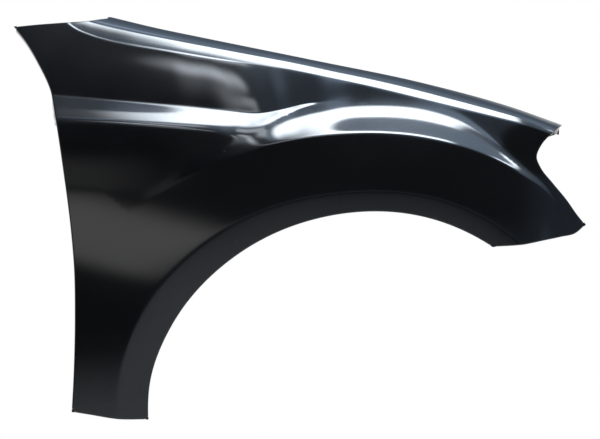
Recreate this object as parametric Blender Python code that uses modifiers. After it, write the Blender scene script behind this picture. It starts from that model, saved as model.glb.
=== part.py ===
"""Right-hand front fender of a car: one pressed steel skin with its return flanges.

Metres, +Z up. +X points to the front of the car and the outer face looks along -Y.
The panel keeps the attitude it has on the car. Its shape is drawn about the wheel axis,
and the finished panel is then moved so that the middle land of its top flange is the origin.
"""

import math

import bpy
import numpy as np
from mathutils import Matrix, Vector
from mathutils.geometry import delaunay_2d_cdt

PANEL_NAME = "fender_panel"
ASSEMBLY_NAME = "car_fender"

# The sheet
SHEET_THICKNESS = 0.0008
BEND_RADIUS = 0.0025
CREASE_RADIUS = 0.0022
PAINT_COLOUR = (0.012, 0.012, 0.013, 1.0)
PAINT_ROUGHNESS = 0.25
SHARP_ANGLE = 40

# Wheel opening, about the wheel axis: the rim of the hole and the two creases round it.
# Each pair is an angle in degrees (0 forward, 90 up) and a distance in metres.
ARCH_RADIUS = 0.3995
ARCH_EASE = ((50, -0.0030), (75, 0.0005), (105, -0.0010), (125, 0.0005),
             (150, 0.0032), (165, 0.0010), (175, -0.0075))
LIP_BAND = ((50, 0.0335), (63, 0.0370), (98, 0.0380), (115, 0.0453),
            (137, 0.0530), (150, 0.0563), (165, 0.0547), (175.3, 0.0555))
FLARE_BAND = ((42, 0.040), (46, 0.062), (49, 0.075), (53.8, 0.0945), (61, 0.0985),
              (80, 0.1005), (90, 0.1015), (103, 0.1045), (121, 0.1085), (129, 0.1160),
              (136.5, 0.1215), (143, 0.108), (150, 0.083), (158, 0.060), (166, 0.049),
              (175.3, 0.043))

# Outline of the panel seen from the side, as (x, z) from the wheel axis
DOOR_EDGE = ((-0.5250, 0.0494), (-0.5215, 0.1140), (-0.5190, 0.2150), (-0.5205, 0.3045),
             (-0.5250, 0.3600), (-0.5395, 0.4743), (-0.5550, 0.5740), (-0.5610, 0.6065),
             (-0.5860, 0.6625), (-0.6060, 0.6963), (-0.6276, 0.7243))
COWL_EDGE = ((-0.6276, 0.7243), (-0.5840, 0.7287), (-0.5400, 0.7320), (-0.4993, 0.7354),
             (-0.4725, 0.7399), (-0.4585, 0.7415))
HOOD_EDGE = ((-0.4585, 0.7415), (-0.3785, 0.7221), (-0.2970, 0.7050), (-0.1100, 0.6668),
             (0.0875, 0.6258), (0.2345, 0.5863), (0.3343, 0.5521))
LAMP_EDGE = ((0.3343, 0.5521), (0.3148, 0.5360), (0.2965, 0.5152), (0.2889, 0.4956),
             (0.2965, 0.4760), (0.3161, 0.4515), (0.3430, 0.4195), (0.3623, 0.3925),
             (0.3754, 0.3770))
CHIN_EDGE = ((0.3754, 0.3770), (0.3675, 0.3693), (0.3577, 0.3617), (0.3332, 0.3556),
             (0.3038, 0.3495), (0.2632, 0.3413), (0.2105, 0.3378))
FOOT_EDGE = ((-0.3910, 0.0360), (-0.4434, 0.0364), (-0.4947, 0.0445), (-0.5250, 0.0494))

# Pressed form: how far the skin lies inboard of its widest plane
WIDEST_HEIGHT = 0.430
UPPER_RADIUS = 0.770
LOWER_RADIUS = 2.130
WRAP_START = 0.06
WRAP_RADIUS = 0.565
WRAP_EASE = 0.35
WRAP_EASE_SPAN = (0.42, 0.62)
LIP_TUCK = 0.20
LIP_CREASE_SPAN = (52.4, 175.3)

# Flare: angle, slope of its face above its crease, and how far up that face reaches
FLARE_FORM = ((40, 0.10, 0.010), (46, 0.15, 0.010), (52, 0.28, 0.011), (57, 0.45, 0.012),
              (62, 0.70, 0.014), (66, 0.86, 0.019), (70, 0.92, 0.028), (74, 0.90, 0.036),
              (80, 0.87, 0.041), (90, 0.85, 0.041), (94, 0.84, 0.040), (98, 0.75, 0.0375),
              (101, 0.695, 0.036), (103.5, 0.63, 0.0345), (106, 0.50, 0.034), (108.5, 0.35, 0.036),
              (112, 0.235, 0.034), (116, 0.17, 0.026), (121, 0.12, 0.018), (126, 0.08, 0.015),
              (137, 0.0, 0.015), (150, 0.0, 0.015))
FLARE_SOFTNESS = 0.43
FLARE_CREASE_SPAN = (46.0, 137.0)

# Ledge that runs forward from the door at waist height and fades into the flare
LEDGE_LINE = ((-0.5600, 0.6035), (-0.4585, 0.5950), (-0.3010, 0.5810), (-0.2485, 0.5755),
              (-0.1960, 0.5715), (-0.1560, 0.5785), (-0.1170, 0.5880), (-0.0600, 0.5940))
LEDGE_RISE = 0.0238
LEDGE_HEIGHT = ((-0.56, 0.056), (-0.35, 0.057), (-0.30, 0.056), (-0.25, 0.048), (-0.20, 0.031),
                (-0.15, 0.0157), (-0.11, 0.008))
LEDGE_FLAT = 0.25
LEDGE_ROUND = 0.03
LEDGE_FADE = (-0.40, -0.06)

# Shoulder: the crease below the hood line, and the roll from it up to the hood edge
SHOULDER_CREASE = ((-0.5345, 0.7313), (-0.5187, 0.7203), (-0.4935, 0.7093), (-0.4620, 0.6998),
                   (-0.4148, 0.6904), (-0.3675, 0.6825), (-0.2853, 0.6683), (-0.2080, 0.6565),
                   (-0.1450, 0.6477), (-0.0791, 0.6347), (-0.0035, 0.6187), (0.0945, 0.5950),
                   (0.1575, 0.5793), (0.2205, 0.5635), (0.2709, 0.5507), (0.3133, 0.5360))
ROLL_START = ((-0.55, 0.45), (-0.25, 0.46), (-0.10, 0.55), (0.32, 0.58))
ROLL_END = ((-0.45, 2.2), (-0.10, 2.3), (0.08, 2.8), (0.20, 4.0), (0.33, 6.0))
ROLL_POWER = 3.0
ROLL_LEAST = 0.008

# Return flanges: their widths, and how far each one is bent from the skin, in degrees
FOOT_FLANGE = 0.026
DOOR_FLANGE = 0.012
COWL_FLANGE = 0.011
LAMP_FLANGE = 0.012
CHIN_FLANGE = 0.014
LIP_FLANGE = 0.015
RETURN_ANGLE = 85
HOOD_WALL = 0.016
HOOD_WALL_LEAN = 0.0015
HOOD_FLANGE = 0.020

# Fixing lands: flat places on the flanges, each with a slot for a bolt
LAND_LENGTH = 0.042
LAND_RAMP = 0.012
LAND_STEP = 0.002
LAND_WIDTH = 0.030
TAB_LENGTH = 0.030
TAB_RAMP = 0.010
TAB_WIDTH = 0.030
SLOT_WIDTH = 0.0090
SLOT_STRETCH = 0.0025
MOUNT_OFFSET = 0.011
HOOD_LANDS = {"hood_land_rear": 0.09, "hood_land_middle": 0.37, "hood_land_forward": 0.65,
              "hood_land_front": 0.915}
DOOR_TABS = {"door_tab_lower": 0.40, "door_tab_upper": 0.76}
COWL_TABS = {"cowl_tab": 0.42}
LAMP_TABS = {"lamp_tab": 0.66}
CHIN_LANDS = {"chin_land": 0.50}
FOOT_LANDS = {"foot_land": 0.68}
ORIGIN_LAND = "hood_land_middle"

# Clip holes round the lip flange, by their angle about the wheel axis
CLIP_HOLE = 0.0065
CLIP_ANGLES = (163, 141, 119, 97, 75)
CLIP_INSET = 0.0082
HOLE_SIDES = 16
CUTTER_LENGTH = 0.010

# Spacing of the mesh points
POINT_SPACING = 0.0180
FIELD_CLEARANCE = 0.0108
CHAIN_CLEARANCE = 0.0032
LINK_REACH = 0.0360
CORNER_NOTCH = 0.006
CORNER_RELIEF = 0.001
CREASE_SIDES = (-0.004, 0.0, 0.004)
LEDGE_DROPS = (0.0, 0.012, 0.028)
ROLL_SHARES = (0.35, 0.62, 0.82, 0.94)
LIP_SHARES = (0.5,)
BEND_STEPS = 2
CURVE_STEPS = 400
NORMAL_REACH = 0.0005
SMALL = 1e-6

EDGE_NAMES = ("foot", "door", "cowl", "hood", "lamp", "chin", "arch")
EDGE_POINTS = {"foot": FOOT_EDGE, "door": DOOR_EDGE, "cowl": COWL_EDGE, "hood": HOOD_EDGE,
               "lamp": LAMP_EDGE, "chin": CHIN_EDGE}
FIXINGS = {"hood": (HOOD_LANDS, LAND_LENGTH, LAND_RAMP), "door": (DOOR_TABS, TAB_LENGTH, TAB_RAMP),
           "cowl": (COWL_TABS, TAB_LENGTH, TAB_RAMP), "lamp": (LAMP_TABS, TAB_LENGTH, TAB_RAMP),
           "chin": (CHIN_LANDS, TAB_LENGTH, TAB_RAMP), "foot": (FOOT_LANDS, TAB_LENGTH, TAB_RAMP)}


def spline(points, at):
    """Smooth curve through (place, value) pairs, straight beyond its ends."""
    pairs = np.asarray(points, float)
    at = np.asarray(at, float)
    place = pairs[:, 0]
    value = pairs[:, 1]
    slope = np.gradient(value, place)
    left = np.clip(np.searchsorted(place, at) - 1, 0, len(place) - 2)
    step = place[left + 1] - place[left]
    share = (at - place[left]) / step
    t = np.clip(share, 0, 1)
    inside = ((1 + 2 * t) * (1 - t) ** 2 * value[left] + t * (1 - t) ** 2 * step * slope[left]
              + t * t * (3 - 2 * t) * value[left + 1] + t * t * (t - 1) * step * slope[left + 1])
    before = np.where(share < 0, share * step * slope[left], 0)
    after = np.where(share > 1, (share - 1) * step * slope[left + 1], 0)
    return inside + before + after


def fade(start, end, at):
    """0 before start, 1 after end, and an even S between them."""
    t = np.clip((at - start) / (end - start), 0, 1)
    return t * t * (3 - 2 * t)


def rounded(distance, radius):
    """max(distance, 0) with its corner rounded off."""
    return 0.5 * (distance + np.sqrt(distance * distance + radius * radius))


def arch_radius(angle):
    return ARCH_RADIUS + spline(ARCH_EASE, angle)


def lip_crease_radius(angle):
    return arch_radius(angle) + spline(LIP_BAND, angle)


def flare_crease_radius(angle):
    return lip_crease_radius(angle) + spline(FLARE_BAND, angle)


def side_depth(z):
    """Crown of the body side in height: it leans in above and below its widest line."""
    height = z - WIDEST_HEIGHT
    return height * height / (2 * np.where(height > 0, UPPER_RADIUS, LOWER_RADIUS))


def ledge_depth(x, z):
    """Step at waist height: the skin above the ledge line lies further in."""
    height = spline(LEDGE_HEIGHT, np.clip(x, LEDGE_HEIGHT[0][0], LEDGE_HEIGHT[-1][0]))
    down = np.clip(rounded((spline(LEDGE_LINE, x) - z) / height, LEDGE_ROUND), 0, 1)
    tail = np.clip((down - LEDGE_FLAT) / (1 - LEDGE_FLAT), 0, 1)
    fallen = down - (1 - LEDGE_FLAT) * (tail ** 3 - tail ** 4 / 2)
    full = (1 + LEDGE_FLAT) / 2
    return LEDGE_RISE * (1 - fallen / full) * (1 - fade(*LEDGE_FADE, x))


def soft_log(value):
    """Logarithm of the hyperbolic cosine: an even V with a round bottom."""
    return np.logaddexp(value, -value) - math.log(2)


def flare_depth(x, z):
    """Wheel flare: outside its crease the skin falls away inboard, then levels out."""
    angle = np.degrees(np.arctan2(z, x))
    form = np.array(FLARE_FORM)
    slope = np.clip(spline(form[:, [0, 1]], angle), 0, None) * (angle < form[-1, 0])
    reach = np.clip(spline(form[:, [0, 2]], angle), form[:, 2].min(), None)
    width = reach * FLARE_SOFTNESS
    outside = rounded(np.hypot(x, z) - flare_crease_radius(angle), CREASE_RADIUS)
    turned = soft_log((outside - reach) / width) - soft_log(reach / width)
    return slope * (outside - width * turned) / 2


def wrap_depth(x, z):
    """Front end: the skin sweeps inboard towards the head lamp, less so up at the hood."""
    ease = 1 - WRAP_EASE * fade(*WRAP_EASE_SPAN, z)
    return np.maximum(x - WRAP_START, 0) ** 2 / (2 * WRAP_RADIUS) * ease


def roll_depth(x, above):
    """Shoulder roll, from the crease up over to the hood edge."""
    height = np.maximum(spline(HOOD_EDGE, x) - spline(SHOULDER_CREASE, x), ROLL_LEAST)
    turn = spline(ROLL_END, x) * height * (above / height) ** (ROLL_POWER + 1) / (ROLL_POWER + 1)
    return spline(ROLL_START, x) * above + turn


def skin_depth(x, z):
    """Inboard distance (y) of the outer face at a point of the side view."""
    above = rounded(z - spline(SHOULDER_CREASE, x), CREASE_RADIUS)
    side_z = z - above
    depth = side_depth(side_z) + ledge_depth(x, side_z) + flare_depth(x, side_z)
    depth = depth + wrap_depth(x, side_z) + roll_depth(x, above)
    inside = rounded(lip_crease_radius(np.degrees(np.arctan2(z, x))) - np.hypot(x, z), CREASE_RADIUS)
    return depth + LIP_TUCK * inside


def skin_normal(x, z):
    """Unit normal of the outer face, pointing out of the car."""
    reach = NORMAL_REACH
    slope_x = (skin_depth(x + reach, z) - skin_depth(x - reach, z)) / (2 * reach)
    slope_z = (skin_depth(x, z + reach) - skin_depth(x, z - reach)) / (2 * reach)
    normal = np.stack([slope_x, -np.ones_like(slope_x), slope_z], -1)
    return normal / np.linalg.norm(normal, axis=-1, keepdims=True)


def fine_curve(points):
    """Dense smooth curve through a few (x, z) points."""
    corner = np.asarray(points, float)
    walked = np.r_[0, np.cumsum(np.linalg.norm(np.diff(corner, axis=0), axis=1))]
    at = np.linspace(0, walked[-1], CURVE_STEPS)
    return np.c_[spline(np.c_[walked, corner[:, 0]], at), spline(np.c_[walked, corner[:, 1]], at)]


def arch_curve():
    """Rim of the wheel opening, from the chin round to the foot."""
    first = math.degrees(math.atan2(CHIN_EDGE[-1][1], CHIN_EDGE[-1][0]))
    last = math.degrees(math.atan2(FOOT_EDGE[0][1], FOOT_EDGE[0][0]))
    angle = np.linspace(first, last, CURVE_STEPS)
    return polar(arch_radius(angle), angle)


def polar(radius, angle):
    turn = np.radians(angle)
    return np.stack([radius * np.cos(turn), radius * np.sin(turn)], -1)


def curve_normals(curve):
    """In-plane normals to the right of the direction of travel, which is inwards here."""
    along = np.gradient(curve, axis=0)
    along = along / np.linalg.norm(along, axis=1, keepdims=True)
    return np.c_[along[:, 1], -along[:, 0]]


def walk(points):
    """Distance walked along a curve up to each of its points."""
    return np.r_[0, np.cumsum(np.linalg.norm(np.diff(points, axis=0), axis=1))]


def read_along(curve, values, distance):
    """Values that belong to the points of a dense curve, read at some distances along it."""
    walked = walk(curve)
    return np.c_[np.interp(distance, walked, values[:, 0]), np.interp(distance, walked, values[:, 1])]


def distance_along(curve, point):
    """Distance along a dense curve of its point nearest to a given one."""
    nearest = np.argmin(np.linalg.norm(curve - np.asarray(point), axis=1))
    return walk(curve)[nearest]


def even_stops(curve, fixed):
    """Distances along a curve: evenly spaced, and also at its ends and at each fixed one."""
    length = walk(curve)[-1]
    marks = sorted([0.0, length] + list(fixed))
    stops = []
    for start, end in zip(marks[:-1], marks[1:]):
        if end - start < SMALL:
            continue
        count = max(1, round((end - start) / POINT_SPACING))
        stops.extend(start + (end - start) * step / count for step in range(count))
    return stops + [length]


def edge_inset(name):
    """How far the skin stops short of an edge, to leave room for the bend of its flange."""
    return 0.0 if name == "hood" else BEND_RADIUS


def full_curve(name):
    """One edge of the panel as seen from the side, with the bend of its flange."""
    return arch_curve() if name == "arch" else fine_curve(EDGE_POINTS[name])


def fixing_stops(curve, fixings, length, ramp):
    """Distances along an edge at which its lands and their ramps start and end."""
    middles = [share * walk(curve)[-1] for share in fixings.values()]
    steps = (-length / 2 - ramp, -length / 2, length / 2, length / 2 + ramp)
    return [middle + step for middle in middles for step in steps]


def free_stops(stops):
    """Which of an edge's stops lie clear of its corners, where its flange is."""
    half = stops[-1] / 2
    return np.abs(stops - half) < half - CORNER_NOTCH + SMALL


def outline_points():
    """Points of the seven edges, clockwise seen from outside, and how far along it each one lies.

    There is one at each crease and land end. Where a flange turns in, the skin stops short of
    the edge by its bend, and at the corners it runs out to the full outline.
    """
    low_ends = [polar(lip_crease_radius(angle), angle) for angle in LIP_CREASE_SPAN]
    flare_end = polar(flare_crease_radius(FLARE_CREASE_SPAN[0]), FLARE_CREASE_SPAN[0])
    crossings = {"foot": [low_ends[1]], "cowl": [SHOULDER_CREASE[0]], "lamp": [SHOULDER_CREASE[-1]],
                 "chin": [flare_end, low_ends[0]]}
    edges = {}
    stops = {}
    for name in EDGE_NAMES:
        curve = full_curve(name)
        whole = walk(curve)[-1]
        fixed = [distance_along(curve, point) for point in crossings.get(name, [])]
        fixings, length, ramp = FIXINGS.get(name, ({}, 0, 0))
        fixed += fixing_stops(curve, fixings, length, ramp)
        fixed += [CORNER_NOTCH - CORNER_RELIEF, CORNER_NOTCH]
        fixed += [whole - CORNER_NOTCH, whole - CORNER_NOTCH + CORNER_RELIEF]
        stops[name] = np.array(even_stops(curve, fixed))
        inwards = read_along(curve, curve_normals(curve), stops[name]) * edge_inset(name)
        edges[name] = read_along(curve, curve, stops[name]) + inwards * free_stops(stops[name])[:, None]
    return edges, stops


def arch_line(radius, span):
    """Dense points of a crease round the wheel opening, between two angles."""
    angle = np.linspace(*span, CURVE_STEPS)
    return polar(radius(angle), angle)


def crease_chains(curve, ends):
    """Rows of points on a crease and on both sides of it, clear of the panel's edges."""
    stops = np.array(even_stops(curve, []))
    points = read_along(curve, curve, stops)
    normal = curve_normals(points)
    chains = []
    for side in CREASE_SIDES:
        chains.append(points[ends[0]:len(points) - ends[1]] + side * normal[ends[0]:len(points) - ends[1]])
    return chains


def shoulder_chains():
    """Rows of points up the shoulder roll, from just under its crease to the hood edge."""
    place = np.arange(HOOD_EDGE[0][0] + POINT_SPACING / 2, SHOULDER_CREASE[-1][0] - CREASE_SIDES[-1],
                      POINT_SPACING)
    crease = spline(SHOULDER_CREASE, place)
    height = spline(HOOD_EDGE, place) - crease
    rows = [np.c_[place, crease + height * share] for share in ROLL_SHARES]
    return rows + [np.c_[place, crease], np.c_[place, crease - CREASE_SIDES[-1]]]


def ledge_chains():
    """Rows of points along the ledge, from its upper line down its face."""
    place = np.arange(LEDGE_LINE[0][0], LEDGE_FADE[1], POINT_SPACING)
    line = spline(LEDGE_LINE, place)
    clear = np.hypot(place, line) > flare_crease_radius(np.degrees(np.arctan2(line, place))) + POINT_SPACING
    return [np.c_[place, line - drop][clear] for drop in LEDGE_DROPS]


def lip_chains():
    """Rows of points between the arch rim and the lip crease."""
    angle = np.arange(*LIP_CREASE_SPAN, math.degrees(POINT_SPACING / ARCH_RADIUS))[1:-1]
    return [polar(arch_radius(angle) + spline(LIP_BAND, angle) * share, angle) for share in LIP_SHARES]


def inside_outline(points, outline):
    """Which points lie within a closed outline."""
    x, z = points[:, 0], points[:, 1]
    inside = np.zeros(len(points), bool)
    for start, end in zip(outline, np.roll(outline, -1, axis=0)):
        spans = (start[1] > z) != (end[1] > z)
        rise = np.where(end[1] == start[1], 1.0, end[1] - start[1])
        crossing = start[0] + (z - start[1]) * (end[0] - start[0]) / rise
        inside ^= spans & (x < crossing)
    return inside


def nearest_gap(points, others):
    """Distance from each point to the nearest of some others."""
    return np.linalg.norm(points[:, None] - others[None], axis=2).min(axis=1)


def field_points(outline, taken):
    """Even triangular field of points that keeps clear of the points already taken."""
    row_height = POINT_SPACING * math.sqrt(3) / 2
    low, high = outline.min(axis=0), outline.max(axis=0)
    rows = []
    for row, z in enumerate(np.arange(low[1], high[1], row_height)):
        x = np.arange(low[0] + POINT_SPACING / 2 * (row % 2), high[0], POINT_SPACING)
        rows.append(np.c_[x, np.full(len(x), z)])
    field = np.concatenate(rows)
    field = field[inside_outline(field, outline)]
    return field[nearest_gap(field, taken) > FIELD_CLEARANCE]


def blank():
    """Flat pattern of the skin in the side view: points, triangles and the points on its edges."""
    edges, stops = outline_points()
    outline = np.concatenate([edge[:-1] for edge in edges.values()])
    chains = crease_chains(arch_line(lip_crease_radius, LIP_CREASE_SPAN), (1, 1))
    chains += crease_chains(arch_line(flare_crease_radius, FLARE_CREASE_SPAN), (0, 1))
    chains += shoulder_chains() + ledge_chains() + lip_chains()
    points = list(outline)
    links = [(number, (number + 1) % len(outline)) for number in range(len(outline))]
    for chain in chains:
        kept = chain[inside_outline(chain, outline)]
        kept = kept[nearest_gap(kept, outline) > CHAIN_CLEARANCE]
        close = np.linalg.norm(np.diff(kept, axis=0), axis=1) < LINK_REACH
        links += [(len(points) + step, len(points) + step + 1) for step in np.flatnonzero(close)]
        points.extend(kept)
    points.extend(field_points(outline, np.array(points)))
    loop = [list(range(len(outline)))]
    result = delaunay_2d_cdt([Vector(point) for point in points], links, loop, 1, SMALL)
    home = {source: new for new, sources in enumerate(result[3]) for source in sources}
    flat = np.array([tuple(point) for point in result[0]])
    return flat, result[2], edge_indices(edges, home), stops


def edge_indices(edges, home):
    """For each edge, the numbers of its points in the triangulated pattern."""
    count = sum(len(edge) - 1 for edge in edges.values())
    indices = {}
    start = 0
    for name, edge in edges.items():
        numbers = [(start + step) % count for step in range(len(edge))]
        indices[name] = np.array([home[number] for number in numbers])
        start += len(edge) - 1
    return indices


def skin_points(flat):
    """Presses points of the side view into the skin's form."""
    return np.stack([flat[..., 0], skin_depth(flat[..., 0], flat[..., 1]), flat[..., 1]], -1)


def edge_frames(points):
    """Along an edge: the way out of the skin in its own surface, and the skin's normal."""
    normal = skin_normal(points[:, 0], points[:, 2])
    out = np.cross(normal, np.gradient(points, axis=0))
    return out / np.linalg.norm(out, axis=1, keepdims=True), normal


def return_rows(points, width):
    """Rows of points of a flange turned in off an edge: its bend, then its flat."""
    out, normal = edge_frames(points)
    rows = []
    for step in range(1, BEND_STEPS + 1):
        turn = math.radians(RETURN_ANGLE * step / BEND_STEPS)
        rows.append(points + BEND_RADIUS * (out * math.sin(turn) - normal * (1 - math.cos(turn))))
    turn = math.radians(RETURN_ANGLE)
    flat = out * math.cos(turn) - normal * math.sin(turn)
    rows.append(rows[-1] + flat * np.reshape(width, (-1, 1)))
    return np.array(rows)


def hood_rows(points, width, drop):
    """Top flange: over the hood edge, down a wall and inboard to the fixing lands."""
    inboard = np.array([0.0, 1.0, 0.0])
    down = np.array([0.0, 0.0, -1.0])
    bend = BEND_RADIUS
    part = BEND_RADIUS * math.sqrt(0.5)
    foot = 2 * BEND_RADIUS + HOOD_WALL_LEAN
    low = HOOD_WALL + np.reshape(drop, (-1, 1))
    width = np.reshape(width, (-1, 1))
    steps = ((part, bend - part), (bend, bend), (foot - bend, low), (foot - part, low + part),
             (foot, low + bend), (foot + width, low + bend))
    return np.array([points + inboard * across + down * fall for across, fall in steps])


def land_shape(stops, middle, length, ramp):
    """For each point of an edge, 1 on a land, 0 clear of it, and between them on its ramps."""
    away = np.abs(stops - middle)
    return np.clip((length / 2 + ramp - away) / ramp, 0, 1)


def flatten_land(rows, on_land):
    """Moves the flat of one land on to a single plane; gives its middle, normal and direction."""
    edge_side, free_side = rows[-2][on_land], rows[-1][on_land]
    middle = (edge_side.mean(axis=0) + free_side.mean(axis=0)) / 2
    along = edge_side[-1] - edge_side[0]
    along = along / np.linalg.norm(along)
    across = (free_side - edge_side).mean(axis=0)
    across = across - along * (across @ along)
    across = across / np.linalg.norm(across)
    normal = np.cross(along, across)
    for row in (-2, -1):
        rows[row][on_land] -= np.outer((rows[row][on_land] - middle) @ normal, normal)
    return {"middle": middle, "normal": normal, "along": along, "across": across}


def flanges(skin, edge_numbers, stops):
    """Rows of points of the flange on every edge, with the lands flattened and listed."""
    widths = {"foot": FOOT_FLANGE, "door": DOOR_FLANGE, "cowl": COWL_FLANGE, "hood": HOOD_FLANGE,
              "lamp": LAMP_FLANGE, "chin": CHIN_FLANGE, "arch": LIP_FLANGE}
    strips = {}
    lands = {}
    for name, numbers in edge_numbers.items():
        whole = stops[name][-1]
        free = free_stops(stops[name])
        along = stops[name][free]
        points = skin[numbers[free]]
        fixings, length, ramp = FIXINGS.get(name, ({}, TAB_LENGTH, TAB_RAMP))
        shapes = {land: land_shape(along, share * whole, length, ramp) for land, share in fixings.items()}
        shape = sum(shapes.values(), np.zeros(len(points)))
        if name == "hood":
            rows = hood_rows(points, widths[name] + (LAND_WIDTH - widths[name]) * shape, LAND_STEP * shape)
        else:
            rows = return_rows(points, widths[name] + (TAB_WIDTH - widths[name]) * shape)
        for land in fixings:
            lands[land] = flatten_land(rows, shapes[land] > 1 - SMALL)
        strips[name] = (numbers[free], rows)
    return strips, lands


def build_sheet():
    """Skin and flanges as one open surface: points, faces, and the fixing lands."""
    flat, triangles, edge_numbers, stops = blank()
    skin = skin_points(flat)
    points = [tuple(point) for point in skin]
    faces = [tuple(face) for face in triangles]
    strips, lands = flanges(skin, edge_numbers, stops)
    for numbers, rows in strips.values():
        start = len(points)
        points.extend(tuple(point) for point in rows.reshape(-1, 3))
        added = start + np.arange(rows.shape[0] * rows.shape[1]).reshape(rows.shape[:2])
        index = np.vstack([numbers, added])
        for near, far in zip(index[:-1], index[1:]):
            for step in range(len(near) - 1):
                quad = (near[step], near[step + 1], far[step + 1], far[step])
                faces.append(tuple(int(number) for number in quad))
    return points, faces, lands


def mount_point(land):
    """A place on the underside of a land, beside its slot."""
    return land["middle"] + land["along"] * MOUNT_OFFSET - land["normal"] * SHEET_THICKNESS


def add_cutter(name, holder, group, middle, normal, along, width, stretch):
    """A round or slotted punch across the sheet."""
    bpy.ops.mesh.primitive_cylinder_add(vertices=HOLE_SIDES, radius=width / 2, depth=CUTTER_LENGTH)
    cutter = bpy.context.object
    cutter.name = name
    for vertex in cutter.data.vertices:
        vertex.co.x += math.copysign(stretch, vertex.co.x)
    side = np.cross(normal, along)
    cutter.matrix_world = Matrix((along, side, normal)).transposed().to_4x4()
    cutter.location = middle
    cutter.parent = holder
    cutter.hide_render = True
    cutter.display_type = "WIRE"
    for linked in cutter.users_collection:
        linked.objects.unlink(cutter)
    group.objects.link(cutter)


def clip_places():
    """Middles and directions of the clip holes in the lip flange."""
    places = []
    for angle in CLIP_ANGLES:
        radial = polar(1.0, angle)
        rim = polar(arch_radius(angle), angle)
        depth = float(skin_depth(*polar(arch_radius(angle) + BEND_RADIUS, angle)))
        middle = np.array([rim[0], depth + BEND_RADIUS + CLIP_INSET, rim[1]])
        places.append((middle, np.array([radial[0], 0.0, radial[1]]), np.array([-radial[1], 0.0, radial[0]])))
    return places


def paint():
    material = bpy.data.materials.new("black_primer")
    material.use_nodes = True
    shader = material.node_tree.nodes["Principled BSDF"]
    shader.inputs["Base Color"].default_value = PAINT_COLOUR
    shader.inputs["Roughness"].default_value = PAINT_ROUGHNESS
    shader.inputs["Metallic"].default_value = 0.0
    return material


def new_collection(name):
    group = bpy.data.collections.new(name)
    bpy.context.scene.collection.children.link(group)
    return group


def add_panel(points, faces, holder, group, cutters):
    mesh = bpy.data.meshes.new(PANEL_NAME)
    mesh.from_pydata(points, [], faces)
    mesh.shade_smooth()
    mesh.set_sharp_from_angle(angle=math.radians(SHARP_ANGLE))
    mesh.materials.append(paint())
    panel = bpy.data.objects.new(PANEL_NAME, mesh)
    panel.parent = holder
    group.objects.link(panel)
    sheet = panel.modifiers.new("sheet", "SOLIDIFY")
    sheet.thickness = SHEET_THICKNESS
    sheet.offset = -1
    sheet.use_even_offset = True
    holes = panel.modifiers.new("holes", "BOOLEAN")
    holes.operation = "DIFFERENCE"
    holes.operand_type = "COLLECTION"
    holes.collection = cutters


def clear_scene():
    for thing in list(bpy.data.objects):
        bpy.data.objects.remove(thing, do_unlink=True)


def main():
    clear_scene()
    group = new_collection(ASSEMBLY_NAME)
    cutters = new_collection("hole_cutters")
    points, faces, lands = build_sheet()
    axis = bpy.data.objects.new("wheel_axis", None)
    axis.location = -mount_point(lands[ORIGIN_LAND])
    group.objects.link(axis)
    for name, land in lands.items():
        add_cutter(name + "_slot", axis, cutters, land["middle"], land["normal"], land["along"],
                   SLOT_WIDTH, SLOT_STRETCH)
    for number, (middle, normal, along) in enumerate(clip_places()):
        add_cutter(f"clip_hole_{number + 1}", axis, cutters, middle, normal, along, CLIP_HOLE, 0.0)
    add_panel(points, faces, axis, group, cutters)


main()
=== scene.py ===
# Right-hand front fender of a car: one pressed steel skin in semi-gloss black primer.
import math

import bpy
import numpy as np
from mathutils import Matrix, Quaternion, Vector
from mathutils.geometry import delaunay_2d_cdt
from mathutils.kdtree import KDTree


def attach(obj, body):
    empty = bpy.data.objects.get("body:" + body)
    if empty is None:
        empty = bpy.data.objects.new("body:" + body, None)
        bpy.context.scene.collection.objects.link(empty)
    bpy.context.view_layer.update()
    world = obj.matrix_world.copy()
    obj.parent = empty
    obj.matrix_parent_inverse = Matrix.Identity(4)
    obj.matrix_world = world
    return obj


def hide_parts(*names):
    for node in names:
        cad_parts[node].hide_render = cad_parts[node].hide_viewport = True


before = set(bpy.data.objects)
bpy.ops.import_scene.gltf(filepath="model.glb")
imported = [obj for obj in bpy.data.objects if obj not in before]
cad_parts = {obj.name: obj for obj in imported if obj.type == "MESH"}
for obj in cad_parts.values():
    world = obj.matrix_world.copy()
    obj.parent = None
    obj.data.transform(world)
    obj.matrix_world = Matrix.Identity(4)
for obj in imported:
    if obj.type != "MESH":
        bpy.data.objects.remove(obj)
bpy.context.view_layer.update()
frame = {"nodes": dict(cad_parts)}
scene = bpy.context.scene
print("frame loaded:", ", ".join(frame["nodes"]))

# Place of the wheel axis in the row's frame. The panel is drawn about it, x forward, y inboard.
wheelAxis = (0.15284, -0.10782, -0.65425)

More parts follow.
